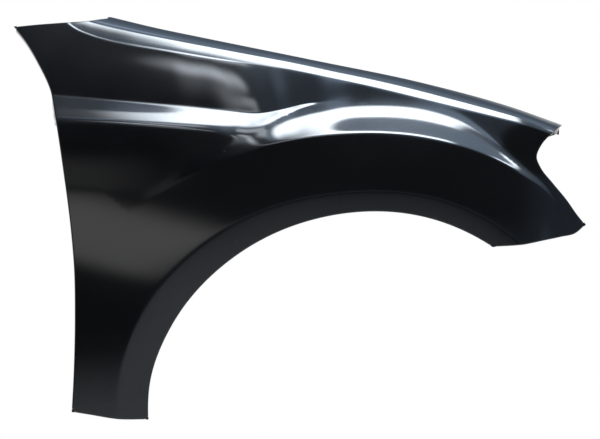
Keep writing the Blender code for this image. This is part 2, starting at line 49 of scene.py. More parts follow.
panel = {
    "sheet": 0.0008,
    "bendRadius": 0.0025,
    "creaseRadius": 0.0022,
    # wheel opening: angle in degrees (0 forward, 90 up), then metres
    "archRadius": 0.3995,
    "archEase": ((50, -0.0030), (75, 0.0005), (105, -0.0010), (125, 0.0005),
                 (150, 0.0032), (165, 0.0010), (175, -0.0075)),
    "lipBand": ((50, 0.0335), (63, 0.0370), (98, 0.0380), (115, 0.0453),
                (137, 0.0530), (150, 0.0563), (165, 0.0547), (175.3, 0.0555)),
    "flareBand": ((42, 0.040), (46, 0.062), (49, 0.075), (53.8, 0.0945), (61, 0.0985),
                  (80, 0.1005), (90, 0.1015), (103, 0.1045), (121, 0.1085), (129, 0.1160),
                  (136.5, 0.1215), (143, 0.108), (150, 0.083), (158, 0.060), (166, 0.049),
                  (175.3, 0.043)),
    # outline seen from the side, as (x, z) from the wheel axis
    "doorEdge": ((-0.5250, 0.0494), (-0.5215, 0.1140), (-0.5190, 0.2150), (-0.5205, 0.3045),
                 (-0.5250, 0.3600), (-0.5395, 0.4743), (-0.5550, 0.5740), (-0.5610, 0.6065),
                 (-0.5860, 0.6625), (-0.6060, 0.6963), (-0.6276, 0.7243)),
    "cowlEdge": ((-0.6276, 0.7243), (-0.5840, 0.7287), (-0.5400, 0.7320), (-0.4993, 0.7354),
                 (-0.4725, 0.7399), (-0.4585, 0.7415)),
    "hoodEdge": ((-0.4585, 0.7415), (-0.3785, 0.7221), (-0.2970, 0.7050), (-0.1100, 0.6668),
                 (0.0875, 0.6258), (0.2345, 0.5863), (0.3343, 0.5521)),
    "lampEdge": ((0.3343, 0.5521), (0.3148, 0.5360), (0.2965, 0.5152), (0.2889, 0.4956),
                 (0.2965, 0.4760), (0.3161, 0.4515), (0.3430, 0.4195), (0.3623, 0.3925),
                 (0.3754, 0.3770)),
    "chinEdge": ((0.3754, 0.3770), (0.3675, 0.3693), (0.3577, 0.3617), (0.3332, 0.3556),
                 (0.3038, 0.3495), (0.2632, 0.3413), (0.2105, 0.3378)),
    "footEdge": ((-0.3910, 0.0360), (-0.4434, 0.0364), (-0.4947, 0.0445), (-0.5250, 0.0494)),
    # pressed form
    "widestHeight": 0.430,
    "upperBend": 1.30,
    "lowerBend": 0.47,
    "wrapStart": 0.06,
    "wrapBend": 1.77,
    "wrapEase": 0.35,
    "wrapEaseSpan": (0.42, 0.62),
    # flare: angle, slope of its face above the crease, and how far up that face reaches
    "flareForm": ((40, 0.10, 0.010), (46, 0.15, 0.010), (52, 0.28, 0.011), (57, 0.45, 0.012),
                  (62, 0.70, 0.014), (66, 0.86, 0.019), (70, 0.92, 0.028), (74, 0.90, 0.036),
                  (80, 0.87, 0.041), (90, 0.85, 0.041), (94, 0.84, 0.040), (98, 0.75, 0.0375),
                  (101, 0.695, 0.036), (103.5, 0.63, 0.0345), (106, 0.50, 0.034), (108.5, 0.35, 0.036),
                  (112, 0.235, 0.034), (116, 0.17, 0.026), (121, 0.12, 0.018), (126, 0.08, 0.015),
                  (137, 0.0, 0.015), (150, 0.0, 0.015)),
    "flareSoftness": 0.43,
    "lipTuck": 0.20,
    "lipCreaseSpan": (52.4, 175.3),
    "flareCreaseSpan": (46.0, 137.0),
    "ledgeLine": ((-0.5600, 0.6035), (-0.4585, 0.5950), (-0.3010, 0.5810), (-0.2485, 0.5755),
                  (-0.1960, 0.5715), (-0.1560, 0.5785), (-0.1170, 0.5880), (-0.0600, 0.5940)),
    # how far the skin above the ledge lies further in, and the ledge's height, both by x
    "ledgeRise": ((-0.64, 0.0268), (-0.60, 0.0265), (-0.56, 0.0261), (-0.45, 0.0238), (-0.35, 0.0205),
                  (-0.30, 0.0180), (-0.25, 0.0138), (-0.20, 0.0090), (-0.15, 0.0043), (-0.10, 0.0011),
                  (-0.06, 0.0), (0.0, 0.0)),
    "ledgeHeight": ((-0.56, 0.056), (-0.45, 0.050), (-0.35, 0.0480), (-0.30, 0.0475), (-0.27, 0.0490),
                    (-0.24, 0.0525), (-0.20, 0.0350), (-0.15, 0.0157), (-0.11, 0.008)),
    "ledgeFlat": 0.25,
    "ledgeRound": 0.03,
    "shoulderCrease": ((-0.5345, 0.7313), (-0.5187, 0.7203), (-0.4935, 0.7093), (-0.4620, 0.6998),
                       (-0.4148, 0.6904), (-0.3675, 0.6825), (-0.2853, 0.6683), (-0.2080, 0.6565),
                       (-0.1450, 0.6477), (-0.0791, 0.6347), (-0.0035, 0.6187), (0.0945, 0.5950),
                       (0.1575, 0.5793), (0.2205, 0.5635), (0.2709, 0.5507), (0.3133, 0.5360)),
    "creaseStep": (0.0005, 0.0026),  # small step just above the shoulder crease, and how wide it is
    "creaseStepEnd": (-0.30, -0.19),
    "rollStart": ((-0.55, 0.45), (-0.25, 0.46), (-0.10, 0.55), (0.32, 0.58)),
    "rollEnd": ((-0.45, 2.2), (-0.10, 2.3), (0.08, 2.8), (0.20, 4.0), (0.33, 6.0)),
    "rollPower": 3.0,
    "rollLeast": 0.008,
    # return flanges, their lands and holes
    "flangeWidth": {"foot": 0.026, "door": 0.012, "cowl": 0.011, "hood": 0.020,
                    "lamp": 0.012, "chin": 0.014, "arch": 0.015},
    "returnAngle": 91,
    "hoodWall": 0.016,
    "hoodWallLean": 0.0015,
    "landStep": 0.002,
    "landWidth": 0.030,
    "hoodLand": (0.042, 0.012),
    "tabLand": (0.030, 0.010),
    "lands": {"hood": (0.09, 0.37, 0.65, 0.915), "door": (0.40, 0.76), "cowl": (0.42,),
              "lamp": (0.66,), "chin": (0.50,), "foot": (0.68,)},
    "slotRadius": 0.0045,
    "slotStretch": 0.0025,
    "clipRadius": 0.00325,
    "clipAngles": (163, 141, 119, 97, 75),
    "clipInset": 0.0082,
    "cornerNotch": 0.006,
    "cornerRelief": 0.001,
}

meshing = {
    "spacing": 0.0055,
    "fieldGap": 0.0034,
    "chainGap": 0.0006,
    "creaseSides": (-0.0075, -0.0045, -0.0028, -0.0016, -0.0008, 0.0,
                    0.0008, 0.0016, 0.0028, 0.0045, 0.0075),
    "rollShares": (0.33, 0.44, 0.55, 0.65, 0.74, 0.82, 0.89, 0.95),
    "bendSteps": 6,
    "curveSteps": 1600,
    "holeSides": 28,
    "holeMargin": 0.002,
    "slopeReach": 0.0003,
    "small": 1e-6,
}

edgeNames = ("foot", "door", "cowl", "hood", "lamp", "chin", "arch")


def spline(points, at):  # smooth curve through (place, value) pairs, straight beyond its ends
    pairs = np.asarray(points, float)
    at = np.asarray(at, float)
    place = pairs[:, 0]
    value = pairs[:, 1]
    slope = np.gradient(value, place)
    left = np.clip(np.searchsorted(place, at) - 1, 0, len(place) - 2)
    step = place[left + 1] - place[left]
    share = (at - place[left]) / step
    t = np.clip(share, 0, 1)
    inside = ((1 + 2 * t) * (1 - t) ** 2 * value[left] + t * (1 - t) ** 2 * step * slope[left]
              + t * t * (3 - 2 * t) * value[left + 1] + t * t * (t - 1) * step * slope[left + 1])
    before = np.where(share < 0, share * step * slope[left], 0)
    after = np.where(share > 1, (share - 1) * step * slope[left + 1], 0)
    return inside + before + after


def fade(start, end, at):
    t = np.clip((at - start) / (end - start), 0, 1)
    return t * t * (3 - 2 * t)


def rounded(distance, radius):  # max(distance, 0) with its corner rounded off
    return 0.5 * (distance + np.sqrt(distance * distance + radius * radius))


def archRadius(angle):
    return panel["archRadius"] + spline(panel["archEase"], angle)


def lipCreaseRadius(angle):
    return archRadius(angle) + spline(panel["lipBand"], angle)


def flareCreaseRadius(angle):
    return lipCreaseRadius(angle) + spline(panel["flareBand"], angle)


def sideDepth(z):  # crown of the body side in height
    height = z - panel["widestHeight"]
    return np.where(height > 0, panel["upperBend"], panel["lowerBend"]) * height * height / 2


def ledgeDepth(x, z):  # step at waist height: above its line the skin lies further in
    heights = panel["ledgeHeight"]
    height = spline(heights, np.clip(x, heights[0][0], heights[-1][0]))
    down = np.clip(rounded((spline(panel["ledgeLine"], x) - z) / height, panel["ledgeRound"]), 0, 1)
    flat = panel["ledgeFlat"]
    tail = np.clip((down - flat) / (1 - flat), 0, 1)
    fallen = down - (1 - flat) * (tail ** 3 - tail ** 4 / 2)
    rise = spline(panel["ledgeRise"], np.minimum(x, panel["ledgeRise"][-1][0]))
    return rise * (1 - fallen * 2 / (1 + flat))


def softLog(value):  # log of cosh
    return np.logaddexp(value, -value) - math.log(2)


def flareDepth(x, z):  # outside the flare's crease the skin falls away inboard, then levels out
    angle = np.degrees(np.arctan2(z, x))
    form = np.array(panel["flareForm"])
    slope = np.clip(spline(form[:, [0, 1]], angle), 0, None) * (angle < form[-1, 0])
    reach = np.clip(spline(form[:, [0, 2]], angle), form[:, 2].min(), None)
    width = reach * panel["flareSoftness"]
    outside = rounded(np.hypot(x, z) - flareCreaseRadius(angle), panel["creaseRadius"])
    return slope * (outside - width * (softLog((outside - reach) / width) - softLog(reach / width))) / 2


def wrapDepth(x, z):  # the front end sweeps inboard towards the head lamp, less so up at the hood
    ease = 1 - panel["wrapEase"] * fade(*panel["wrapEaseSpan"], z)
    return panel["wrapBend"] / 2 * np.maximum(x - panel["wrapStart"], 0) ** 2 * ease


def rollDepth(x, above):  # from the shoulder crease up over to the hood edge
    height = spline(panel["hoodEdge"], x) - spline(panel["shoulderCrease"], x)
    height = np.maximum(height, panel["rollLeast"])
    power = panel["rollPower"]
    turn = spline(panel["rollEnd"], x) * height * (above / height) ** (power + 1) / (power + 1)
    fall, wide = panel["creaseStep"]
    step = fall * fade(0.0, wide, above) * (1 - fade(*panel["creaseStepEnd"], x))
    return spline(panel["rollStart"], x) * above + turn + step


def skinDepth(x, z):
    crease = panel["creaseRadius"]
    above = rounded(z - spline(panel["shoulderCrease"], x), crease)
    sideZ = z - above
    depth = sideDepth(sideZ) + ledgeDepth(x, sideZ) + flareDepth(x, sideZ)
    depth = depth + wrapDepth(x, sideZ) + rollDepth(x, above)
    inside = rounded(lipCreaseRadius(np.degrees(np.arctan2(z, x))) - np.hypot(x, z), crease)
    return depth + panel["lipTuck"] * inside


def skinNormal(x, z):
    reach = meshing["slopeReach"]
    slopeX = (skinDepth(x + reach, z) - skinDepth(x - reach, z)) / (2 * reach)
    slopeZ = (skinDepth(x, z + reach) - skinDepth(x, z - reach)) / (2 * reach)
    normal = np.stack([slopeX, -np.ones_like(slopeX), slopeZ], -1)
    return normal / np.linalg.norm(normal, axis=-1, keepdims=True)


# curves in the side view
def polar(radius, angle):
    turn = np.radians(angle)
    return np.stack([radius * np.cos(turn), radius * np.sin(turn)], -1)


def walk(points):  # how far along a row of points each one lies
    return np.r_[0, np.cumsum(np.linalg.norm(np.diff(points, axis=0), axis=1))]


def fineCurve(points):
    corner = np.asarray(points, float)
    walked = walk(corner)
    at = np.linspace(0, walked[-1], meshing["curveSteps"])
    return np.c_[spline(np.c_[walked, corner[:, 0]], at), spline(np.c_[walked, corner[:, 1]], at)]


def archCurve():
    chin, foot = panel["chinEdge"][-1], panel["footEdge"][0]
    first = math.degrees(math.atan2(chin[1], chin[0]))
    last = math.degrees(math.atan2(foot[1], foot[0]))
    angle = np.linspace(first, last, meshing["curveSteps"])
    return polar(archRadius(angle), angle)


def edgeCurve(name):
    return archCurve() if name == "arch" else fineCurve(panel[name + "Edge"])


def curveNormals(curve):
    along = np.gradient(curve, axis=0)
    along = along / np.linalg.norm(along, axis=1, keepdims=True)
    return np.c_[along[:, 1], -along[:, 0]]


def readAlong(curve, values, distance):  # values at the points of a dense curve, read along it
    walked = walk(curve)
    return np.c_[np.interp(distance, walked, values[:, 0]), np.interp(distance, walked, values[:, 1])]


def distanceAlong(curve, point):
    nearest = np.argmin(np.linalg.norm(curve - np.asarray(point), axis=1))
    return walk(curve)[nearest]


def evenStops(curve, fixed):  # even steps, with a stop at each end and fixed place
    length = walk(curve)[-1]
    marks = sorted([0.0, length] + list(fixed))
    stops = []
    for start, end in zip(marks[:-1], marks[1:]):
        if end - start < meshing["small"]:
            continue
        count = max(1, round((end - start) / meshing["spacing"]))
        stops.extend(start + (end - start) * step / count for step in range(count))
    return stops + [length]


def edgeInset(name):  # where a flange turns in, the skin stops short of the edge by its bend
    return 0.0 if name == "hood" else panel["bendRadius"]


def freeStops(stops):  # which stops of an edge lie clear of its corners, where its flange is
    half = stops[-1] / 2
    return np.abs(stops - half) < half - panel["cornerNotch"] + meshing["small"]


def landSizes(name):
    return panel["hoodLand"] if name == "hood" else panel["tabLand"]


def landShape(stops, middle, length, ramp):
    away = np.abs(stops - middle)
    return np.clip((length / 2 + ramp - away) / ramp, 0, 1)


def edgeHoles(name, curve):  # (distance along the edge, radius, half length of the straight part)
    if name == "arch":
        rims = [polar(archRadius(angle), angle) for angle in panel["clipAngles"]]
        return [(distanceAlong(curve, rim), panel["clipRadius"], 0.0) for rim in rims]
    whole = walk(curve)[-1]
    return [(share * whole, panel["slotRadius"], panel["slotStretch"]) for share in panel["lands"][name]]


def edgeCrossings():  # where the creases run out over the edges
    lipEnds = [polar(lipCreaseRadius(angle), angle) for angle in panel["lipCreaseSpan"]]
    flareStart = panel["flareCreaseSpan"][0]
    flareEnd = polar(flareCreaseRadius(flareStart), flareStart)
    shoulder = panel["shoulderCrease"]
    return {"foot": [lipEnds[1]], "cowl": [shoulder[0]],
            "lamp": [shoulder[-1]], "chin": [flareEnd, lipEnds[0]]}


def outlinePoints():
    crossings = edgeCrossings()
    notch, relief = panel["cornerNotch"], panel["cornerRelief"]
    edges = {}
    stops = {}
    for name in edgeNames:
        curve = edgeCurve(name)
        whole = walk(curve)[-1]
        fixed = [distanceAlong(curve, point) for point in crossings.get(name, [])]
        length, ramp = landSizes(name)
        for share in panel["lands"].get(name, ()):
            for reach in (length / 2, length / 2 + ramp):
                fixed += [share * whole - reach, share * whole + reach]
        fixed += [notch - relief, notch, whole - notch, whole - notch + relief]
        stops[name] = np.array(evenStops(curve, fixed))
        inwards = readAlong(curve, curveNormals(curve), stops[name]) * edgeInset(name)
        edges[name] = readAlong(curve, curve, stops[name]) + inwards * freeStops(stops[name])[:, None]
    return edges, stops


def ringLine(radius, span):  # a line given by its distance from the wheel axis over the angle
    angle = np.linspace(*span, meshing["curveSteps"])
    return polar(radius(angle), angle)


def heightLine(name):  # a line given by its height over x
    line = panel[name]
    x = np.linspace(line[0][0], line[-1][0], meshing["curveSteps"])
    return np.c_[x, spline(line, x)]


def creaseChains(curve):  # rows of points on a crease and close on both sides of it
    points = readAlong(curve, curve, np.array(evenStops(curve, [])))
    normal = curveNormals(points)
    return [points + side * normal for side in meshing["creaseSides"]]


def rollChains():  # rows of points up the shoulder roll, from its crease to the hood edge
    x = np.arange(panel["hoodEdge"][0][0], panel["shoulderCrease"][-1][0], meshing["spacing"])
    crease = spline(panel["shoulderCrease"], x)
    rise = spline(panel["hoodEdge"], x) - crease
    return [np.c_[x, crease + rise * share] for share in meshing["rollShares"]]


def skinChains():
    chains = creaseChains(ringLine(lipCreaseRadius, panel["lipCreaseSpan"]))
    chains += creaseChains(ringLine(flareCreaseRadius, panel["flareCreaseSpan"]))
    chains += creaseChains(heightLine("shoulderCrease"))
    chains += creaseChains(heightLine("ledgeLine"))
    return chains + rollChains()


def insideOutline(points, outline):
    x, z = points[:, 0], points[:, 1]
    inside = np.zeros(len(points), bool)
    for start, end in zip(outline, np.roll(outline, -1, axis=0)):
        if start[1] == end[1]:
            continue
        spans = (start[1] > z) != (end[1] > z)
        crossing = start[0] + (z - start[1]) * (end[0] - start[0]) / (end[1] - start[1])
        inside ^= spans & (x < crossing)
    return inside


def farFrom(points, others, gap):  # which points keep a gap from all the others
    tree = KDTree(len(others))
    for number, other in enumerate(others):
        tree.insert((other[0], other[1], 0.0), number)
    tree.balance()
    return np.array([tree.find((point[0], point[1], 0.0))[2] > gap for point in points], bool)


def fieldPoints(outline, taken):  # even triangles over the rest of the skin
    spacing = meshing["spacing"]
    rowHeight = spacing * math.sqrt(0.75)  # of triangles with equal sides
    low, high = outline.min(axis=0), outline.max(axis=0)
    rows = []
    for row, z in enumerate(np.arange(low[1], high[1], rowHeight)):
        x = np.arange(low[0] + spacing / 2 * (row % 2), high[0], spacing)
        rows.append(np.c_[x, np.full(len(x), z)])
    field = np.concatenate(rows)
    field = field[insideOutline(field, outline)]
    return field[farFrom(field, taken, meshing["fieldGap"])]


def loopLinks(first, count):  # the sides of a closed loop of numbered points
    return [(first + step, first + (step + 1) % count) for step in range(count)]


def blank():  # the skin's flat pattern: points, triangles, the points on each edge and their stops
    edges, stops = outlinePoints()
    outline = np.concatenate([edge[:-1] for edge in edges.values()])
    count = len(outline)
    points = list(outline)
    for chain in skinChains():
        kept = chain[insideOutline(chain, outline)]
        points.extend(kept[farFrom(kept, points, meshing["chainGap"])])
    points.extend(fieldPoints(outline, np.array(points)))
    flat = [Vector((point[0], point[1])) for point in points]
    result = delaunay_2d_cdt(flat, loopLinks(0, count), [list(range(count))], 1, meshing["small"])
    home = {source: new for new, sources in enumerate(result[3]) for source in sources}
    numbers = {}
    start = 0
    for name, edge in edges.items():
        numbers[name] = np.array([home[(start + step) % count] for step in range(len(edge))])
        start += len(edge) - 1
    return np.array([tuple(point) for point in result[0]]), result[2], numbers, stops


# flanges: rows of points, row 0 on the skin's edge, with the direction across each row
def unit(vectors):
    return vectors / np.linalg.norm(vectors, axis=-1, keepdims=True)


def returnSection(points, width):
    normal = skinNormal(points[:, 0], points[:, 2])
    out = unit(np.cross(normal, np.gradient(points, axis=0)))
    bend = panel["bendRadius"]
    rows = [points]
    across = [out]
    for step in range(1, meshing["bendSteps"] + 1):
        turn = math.radians(panel["returnAngle"] * step / meshing["bendSteps"])
        rows.append(points + bend * (out * math.sin(turn) - normal * (1 - math.cos(turn))))
        across.append(out * math.cos(turn) - normal * math.sin(turn))
    rows.append(rows[-1] + across[-1] * width[:, None])
    across.append(across[-1])
    return np.array(rows), np.array(across)


def hoodSection(points, width, drop):  # over the edge, down a low wall, then inboard as a ledge
    inboard = np.array([0.0, 1.0, 0.0])
    down = np.array([0.0, 0.0, -1.0])
    bend = panel["bendRadius"]
    lean = panel["hoodWallLean"]
    wall = panel["hoodWall"]
    still = np.zeros(len(points))
    normal = skinNormal(points[:, 0], points[:, 2])
    rows = [points]
    across = [unit(np.cross(normal, np.gradient(points, axis=0)))]
    quarter = [math.pi / 2 * step / meshing["bendSteps"] for step in range(meshing["bendSteps"] + 1)]
    steps = [(bend * math.sin(turn) + still, bend * (1 - math.cos(turn)) + still, turn)
             for turn in quarter[1:]]
    steps += [(bend + lean + bend * (1 - math.sin(turn)) + still,
               wall + drop + bend * math.cos(turn), turn) for turn in quarter[::-1]]
    steps.append((steps[-1][0] + width, steps[-1][1], 0.0))
    for over, fall, turn in steps:
        rows.append(points + inboard * over[:, None] + down * fall[:, None])
        across.append(np.tile(inboard * math.cos(turn) + down * math.sin(turn), (len(points), 1)))
    return np.array(rows), np.array(across)


def flattenLand(rows, on):  # a bolt sits on a flat land
    edgeSide, freeSide = rows[-2][on], rows[-1][on]
    middle = (edgeSide.mean(axis=0) + freeSide.mean(axis=0)) / 2
    along = unit(edgeSide[-1] - edgeSide[0])
    across = (freeSide - edgeSide).mean(axis=0)
    normal = np.cross(along, unit(across - along * (across @ along)))
    for row in (-2, -1):
        rows[row][on] -= np.outer((rows[row][on] - middle) @ normal, normal)


def flangeRows(name, points, stops, whole):
    length, ramp = landSizes(name)
    shapes = [landShape(stops, share * whole, length, ramp) for share in panel["lands"].get(name, ())]
    shape = sum(shapes, np.zeros(len(points)))
    narrow = panel["flangeWidth"][name]
    width = narrow + (panel["landWidth"] - narrow) * shape
    if name == "hood":
        rows, across = hoodSection(points, width, panel["landStep"] * shape)
    else:
        rows, across = returnSection(points, width)
    for one in shapes:
        flattenLand(rows, one > 1 - meshing["small"])
    across[-2:] = unit(rows[-1] - rows[-2])
    along = np.array([np.gradient(row, stops, axis=0) for row in rows])
    return rows, unit(np.cross(along, across))


# the sheet: lists of points, of their normals and of faces, which the skin and each flange add to
def addPoints(sheet, points, normals):  # gives the numbers of the new points
    first = sum(len(part) for part in sheet["points"])
    sheet["points"].append(points)
    sheet["normals"].append(normals)
    return first + np.arange(len(points))


def holeRing(radius, stretch):
    turn = np.arange(meshing["holeSides"]) * 2 * math.pi / meshing["holeSides"]
    across = np.cos(turn)
    side = np.sign(across) * (np.abs(across) > meshing["small"])
    return np.c_[radius * across + stretch * side, radius * np.sin(turn)]


def readRow(stops, row, at):  # values of a row of points, read by the distance along it
    return np.stack([np.interp(at, stops, row[:, axis]) for axis in range(3)], -1)


def addHole(sheet, name, along, rows, rowNormals, index, hole):  # a hole in a flange's last strip
    place, radius, stretch = hole
    reach = radius + stretch + meshing["holeMargin"]
    near = max(np.searchsorted(along, place - reach) - 1, 0)
    far = min(np.searchsorted(along, place + reach), len(along) - 1)
    inner, outer = rows[-2], rows[-1]
    width = np.linalg.norm(outer - inner, axis=1)
    depth = panel["clipInset"] if name == "arch" else np.interp(place, along, width) / 2
    ring = holeRing(radius, stretch)
    at = place + ring[:, 0]
    share = (depth + ring[:, 1]) / np.interp(at, along, width)
    low, high = readRow(along, inner, at), readRow(along, outer, at)
    ringPlaces = low + (high - low) * share[:, None]
    ringNumbers = addPoints(sheet, ringPlaces, unit(readRow(along, rowNormals[-1], at)))
    there = np.arange(near, far + 1)
    back = there[::-1]
    border = np.r_[index[-2, there], index[-1, back]]
    local = np.r_[np.c_[along[there] - place, np.full(len(there), -depth)],
                  np.c_[along[back] - place, width[back] - depth]]
    count = len(border)
    flat = [Vector(pair) for pair in np.r_[local, ring]]
    links = loopLinks(0, count) + loopLinks(count, len(ring))
    result = delaunay_2d_cdt(flat, links, [list(range(count))], 1, meshing["small"])
    everyNumber = np.r_[border, ringNumbers]
    source = [int(everyNumber[sources[0]]) for sources in result[3]]
    middles = np.array([np.mean([result[0][corner] for corner in face], axis=0) for face in result[2]])
    for face, gone in zip(result[2], insideOutline(middles, ring)):
        if not gone:
            sheet["faces"].append(tuple(source[corner] for corner in face))
    return slice(near, far)


def addFlange(sheet, name, skin, edgeNumbers, stops):
    free = freeStops(stops)
    along = stops[free]
    first = edgeNumbers[free]
    rows, rowNormals = flangeRows(name, skin[first], along, stops[-1])
    added = addPoints(sheet, rows[1:].reshape(-1, 3), rowNormals[1:].reshape(-1, 3))
    index = np.vstack([first, added.reshape(len(rows) - 1, -1)])
    cut = np.zeros(len(along) - 1, bool)
    for hole in edgeHoles(name, edgeCurve(name)):
        cut[addHole(sheet, name, along, rows, rowNormals, index, hole)] = True
    lastStrip = len(index) - 2
    for row in range(lastStrip + 1):
        for step in range(len(along) - 1):
            if row == lastStrip and cut[step]:
                continue
            quad = (index[row, step], index[row, step + 1],
                    index[row + 1, step + 1], index[row + 1, step])
            sheet["faces"].append(tuple(int(number) for number in quad))


def buildSheet():
    flat, triangles, numbers, stops = blank()
    x, z = flat[:, 0], flat[:, 1]
    skin = np.stack([x, skinDepth(x, z), z], -1)
    sheet = {"points": [], "normals": [], "faces": [tuple(face) for face in triangles]}
    addPoints(sheet, skin, skinNormal(x, z))
    for name in edgeNames:
        addFlange(sheet, name, skin, numbers[name], stops[name])
    return np.concatenate(sheet["points"]), np.concatenate(sheet["normals"]), sheet["faces"]


def closedSheet(points, normals, faces):  # gives the sheet its thickness and its cut edges
    sides = [side for face in faces for side in zip(face, face[1:] + face[:1])]
    known = set(sides)
    count = len(points)
    solid = np.vstack([points, points - normals * panel["sheet"]])
    back = [tuple(number + count for number in reversed(face)) for face in faces]
    edge = [(start, start + count, end + count, end) for start, end in sides if (end, start) not in known]
    return solid, faces, back, edge


def shadeSmoothly(mesh, normals, edgeCount):  # smooth sides, and cut edges that stay crisp
    mesh.polygons.foreach_set("use_smooth", [True] * len(mesh.polygons))
    loopVertex = np.zeros(len(mesh.loops), np.int32)
    mesh.loops.foreach_get("vertex_index", loopVertex)
    loopNormals = np.vstack([normals, -normals])[loopVertex]
    facing = np.zeros(len(mesh.polygons) * 3)
    mesh.polygons.foreach_get("normal", facing)
    facing = facing.reshape(-1, 3)[-edgeCount:]
    loopNormals[-4 * edgeCount:] = np.repeat(facing, 4, axis=0)
    mesh.normals_split_custom_set(loopNormals.tolist())


def addPanel():
    points, normals, faces = buildSheet()
    solid, front, back, edge = closedSheet(points, normals, faces)
    mesh = bpy.data.meshes.new("fenderSkin")
    mesh.from_pydata((solid + np.array(wheelAxis)).tolist(), [], front + back + edge)
    mesh.update()
    shadeSmoothly(mesh, normals, len(edge))
    for material in (facePrimer(), backPrimer(), rimPrimer()):
        mesh.materials.append(material)
    mesh.polygons.foreach_set("material_index", [0] * len(front) + [1] * len(back) + [2] * len(edge))
    skin = bpy.data.objects.new("fenderSkin", mesh)
    scene.collection.objects.link(skin)
    print("skin:", len(mesh.vertices), "points,", len(mesh.polygons), "faces")
    return skin


finish = {
    "colour": (0.0045, 0.0045, 0.0050, 1.0),
    "ior": 1.32,
    "backIor": 1.5,
    "coat": 1.0,
    "coatRoughness": 0.07,
    "coatIor": 1.8,
    "faceHaze": (14.0, 0.22, 0.30),  # scale, least and greatest roughness
    "backHaze": (18.0, 0.40, 0.52),
    "rimHaze": (60.0, 0.34, 0.50),
    "hazeDetail": 5.0,
    "hazeSpan": (0.35, 0.65),  # noise at which the roughness is least and greatest
    "peel": (420.0, 0.03),  # scale, strength
    "backPeel": (260.0, 0.10),
    "peelDetail": 2.0,
    "peelDepth": 0.0004,
    "dust": (95.0, 0.022),  # cells in a metre, share of them with a speck
    "backDust": (140.0, 0.05),
    "speckRim": (0.10, 0.04),  # distance from a cell's point at which a speck sets in and is full
    "dustColour": (0.16, 0.155, 0.145, 1.0),
    "rimColour": (0.012, 0.012, 0.013, 1.0),
}


def newGroup(name, inputs, outputs):  # a node group with its sockets: names, kinds and start values
    group = bpy.data.node_groups.new(name, "ShaderNodeTree")
    for title, value in inputs.items():
        socket = group.interface.new_socket(title, in_out="INPUT", socket_type="NodeSocketFloat")
        socket.default_value = value
    for title, kind in outputs.items():
        group.interface.new_socket(title, in_out="OUTPUT", socket_type=kind)
    return group, group.nodes.new("NodeGroupInput"), group.nodes.new("NodeGroupOutput")


def newMaterial(name):
    material = bpy.data.materials.new(name)
    material.use_nodes = True
    return material, material.node_tree.nodes, material.node_tree.links


def mathNode(nodes, links, operation, *values):  # fed by other nodes' sockets and by plain numbers
    node = nodes.new("ShaderNodeMath")
    node.operation = operation
    for socket, value in zip(node.inputs, values):
        if isinstance(value, (int, float)):
            socket.default_value = value
        else:
            links.new(value, socket)
    return node.outputs[0]


def peelGroup():  # the fine unevenness of sprayed primer
    group, given, made = newGroup("orangePeel", {"Scale": 400.0, "Strength": 0.05},
                                  {"Normal": "NodeSocketVector"})
    nodes, links = group.nodes, group.links
    where = nodes.new("ShaderNodeTexCoord")
    noise = nodes.new("ShaderNodeTexNoise")
    bump = nodes.new("ShaderNodeBump")
    noise.inputs["Detail"].default_value = finish["peelDetail"]
    bump.inputs["Distance"].default_value = finish["peelDepth"]
    links.new(where.outputs["Object"], noise.inputs["Vector"])
    links.new(given.outputs["Scale"], noise.inputs["Scale"])
    links.new(given.outputs["Strength"], bump.inputs["Strength"])
    links.new(noise.outputs["Fac"], bump.inputs["Height"])
    links.new(bump.outputs["Normal"], made.inputs["Normal"])
    return group


def hazeGroup():  # cloudy changes of gloss, where the primer went on thicker or drier
    group, given, made = newGroup("primerHaze", {"Scale": 14.0, "Least": 0.2, "Most": 0.3},
                                  {"Roughness": "NodeSocketFloat"})
    nodes, links = group.nodes, group.links
    where = nodes.new("ShaderNodeTexCoord")
    noise = nodes.new("ShaderNodeTexNoise")
    spread = nodes.new("ShaderNodeMapRange")
    noise.inputs["Detail"].default_value = finish["hazeDetail"]
    spread.inputs["From Min"].default_value = finish["hazeSpan"][0]
    spread.inputs["From Max"].default_value = finish["hazeSpan"][1]
    links.new(where.outputs["Object"], noise.inputs["Vector"])
    links.new(given.outputs["Scale"], noise.inputs["Scale"])
    links.new(noise.outputs["Fac"], spread.inputs["Value"])
    links.new(given.outputs["Least"], spread.inputs["To Min"])
    links.new(given.outputs["Most"], spread.inputs["To Max"])
    links.new(spread.outputs["Result"], made.inputs["Roughness"])
    return group


def dustGroup():  # a few pale specks: small dots in some of the cells
    group, given, made = newGroup("dustSpecks", {"Scale": 95.0, "Share": 0.02},
                                  {"Mask": "NodeSocketFloat"})
    nodes, links = group.nodes, group.links
    where = nodes.new("ShaderNodeTexCoord")
    cells = nodes.new("ShaderNodeTexVoronoi")
    split = nodes.new("ShaderNodeSeparateColor")
    dot = nodes.new("ShaderNodeMapRange")
    dot.inputs["From Min"].default_value = finish["speckRim"][0]
    dot.inputs["From Max"].default_value = finish["speckRim"][1]
    links.new(where.outputs["Object"], cells.inputs["Vector"])
    links.new(given.outputs["Scale"], cells.inputs["Scale"])
    links.new(cells.outputs["Distance"], dot.inputs["Value"])
    links.new(cells.outputs["Color"], split.inputs["Color"])
    chosen = mathNode(nodes, links, "LESS_THAN", split.outputs["Red"], given.outputs["Share"])
    mask = mathNode(nodes, links, "MULTIPLY", dot.outputs["Result"], chosen)
    links.new(mask, made.inputs["Mask"])
    return group


peel = peelGroup()
haze = hazeGroup()
dust = dustGroup()


def placed(nodes, group, **values):
    node = nodes.new("ShaderNodeGroup")
    node.node_tree = group
    for title, value in values.items():
        node.inputs[title].default_value = value
    return node


